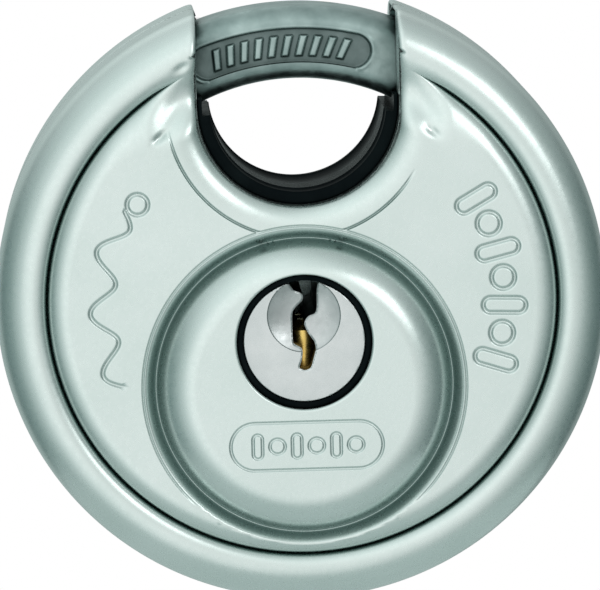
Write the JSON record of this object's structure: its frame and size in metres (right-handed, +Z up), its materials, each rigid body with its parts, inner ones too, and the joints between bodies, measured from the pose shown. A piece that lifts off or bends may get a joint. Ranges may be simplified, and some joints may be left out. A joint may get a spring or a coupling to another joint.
{
  "type": "disc padlock",
  "caption": "Round stainless padlock with a shackle that turns inside the case, a recessed window and a keyed pin cylinder in a raised boss.",
  "frame": {"origin": "innermost point of the closed shackle, at the middle of its width, where the staple or chain link it hangs on bears", "axes": "+Z up with the shackle at the top, -Y out of the keyed front face, +X to the right seen from the front"},
  "size_m": [0.05, 0.0187, 0.0488],
  "materials": {
    "case_steel": "satin",
    "weld_steel": "ground weld",
    "shackle_steel": "satin",
    "hard_steel": "hardened, oiled",
    "screw_steel": "zinc plated",
    "spring_steel": "drawn wire",
    "die_cast": "die cast",
    "nickel": "satin nickel plate",
    "brass": "machined",
    "black_plastic": "gloss"
  },
  "bodies": {
    "body": {"front_shell": "case_steel", "rear_shell": "case_steel", "weld_seam": "weld_steel", "notch_liner": "black_plastic", "core_housing": "die_cast", "anti_drill_plate": "hard_steel", "dust_ring": "black_plastic", "chamber_cover": "die_cast", "backing_plate": "hard_steel", "backing_screws": "screw_steel", "pivot_stud": "hard_steel", "stop_pins": "hard_steel", "pin_spring_1": "spring_steel", "pin_spring_2": "spring_steel", "pin_spring_3": "spring_steel", "pin_spring_4": "spring_steel"},
    "shackle": {"shackle": "shackle_steel", "carrier_plate": "hard_steel", "carrier_rivets": "screw_steel"},
    "plug": {"plug": "nickel", "plug_circlip": "spring_steel", "drive_peg": "hard_steel"},
    "key_pin_1": {"key_pin_1": "brass"},
    "driver_pin_1": {"driver_pin_1": "brass"},
    "key_pin_2": {"key_pin_2": "brass"},
    "driver_pin_2": {"driver_pin_2": "brass"},
    "key_pin_3": {"key_pin_3": "brass"},
    "driver_pin_3": {"driver_pin_3": "brass"},
    "key_pin_4": {"key_pin_4": "brass"},
    "driver_pin_4": {"driver_pin_4": "brass"}
  },
  "joints": [
    {"name": "shackle_turn", "type": "hinge", "parent": "body", "child": "shackle", "pos_m": [0, 0, -0.0178], "axis": [0, 1, 0], "range_deg": [0, 72.28]},
    {"name": "plug_turn", "type": "hinge", "parent": "body", "child": "plug", "pos_m": [0, 0, -0.0208], "axis": [0, 1, 0], "range_deg": [0, 135]},
    {"name": "key_pin_1_lift", "type": "slide", "parent": "plug", "child": "key_pin_1", "axis": [0, 0, 1], "range_m": [0, 0.00035]},
    {"name": "driver_pin_1_slide", "type": "slide", "parent": "body", "child": "driver_pin_1", "axis": [0, 0, 1], "range_m": [-0.0016, 0], "stiffness_N_per_m": 100, "springref_m": 0.002, "deforming": ["pin_spring_1"]},
    {"name": "key_pin_2_lift", "type": "slide", "parent": "plug", "child": "key_pin_2", "axis": [0, 0, 1], "range_m": [0, 0.00135]},
    {"name": "driver_pin_2_slide", "type": "slide", "parent": "body", "child": "driver_pin_2", "axis": [0, 0, 1], "range_m": [-0.0016, 0], "stiffness_N_per_m": 100, "springref_m": 0.002, "deforming": ["pin_spring_2"]},
    {"name": "key_pin_3_lift", "type": "slide", "parent": "plug", "child": "key_pin_3", "axis": [0, 0, 1], "range_m": [0, 0.00075]},
    {"name": "driver_pin_3_slide", "type": "slide", "parent": "body", "child": "driver_pin_3", "axis": [0, 0, 1], "range_m": [-0.0016, 0], "stiffness_N_per_m": 100, "springref_m": 0.002, "deforming": ["pin_spring_3"]},
    {"name": "key_pin_4_lift", "type": "slide", "parent": "plug", "child": "key_pin_4", "axis": [0, 0, 1], "range_m": [0, 0.00195]},
    {"name": "driver_pin_4_slide", "type": "slide", "parent": "body", "child": "driver_pin_4", "axis": [0, 0, 1], "range_m": [-0.0016, 0], "stiffness_N_per_m": 100, "springref_m": 0.002, "deforming": ["pin_spring_4"]}
  ],
  "couplings": [
    {"joint": "plug_turn", "follows": "shackle_turn", "ratio": 1.8676}
  ]
}
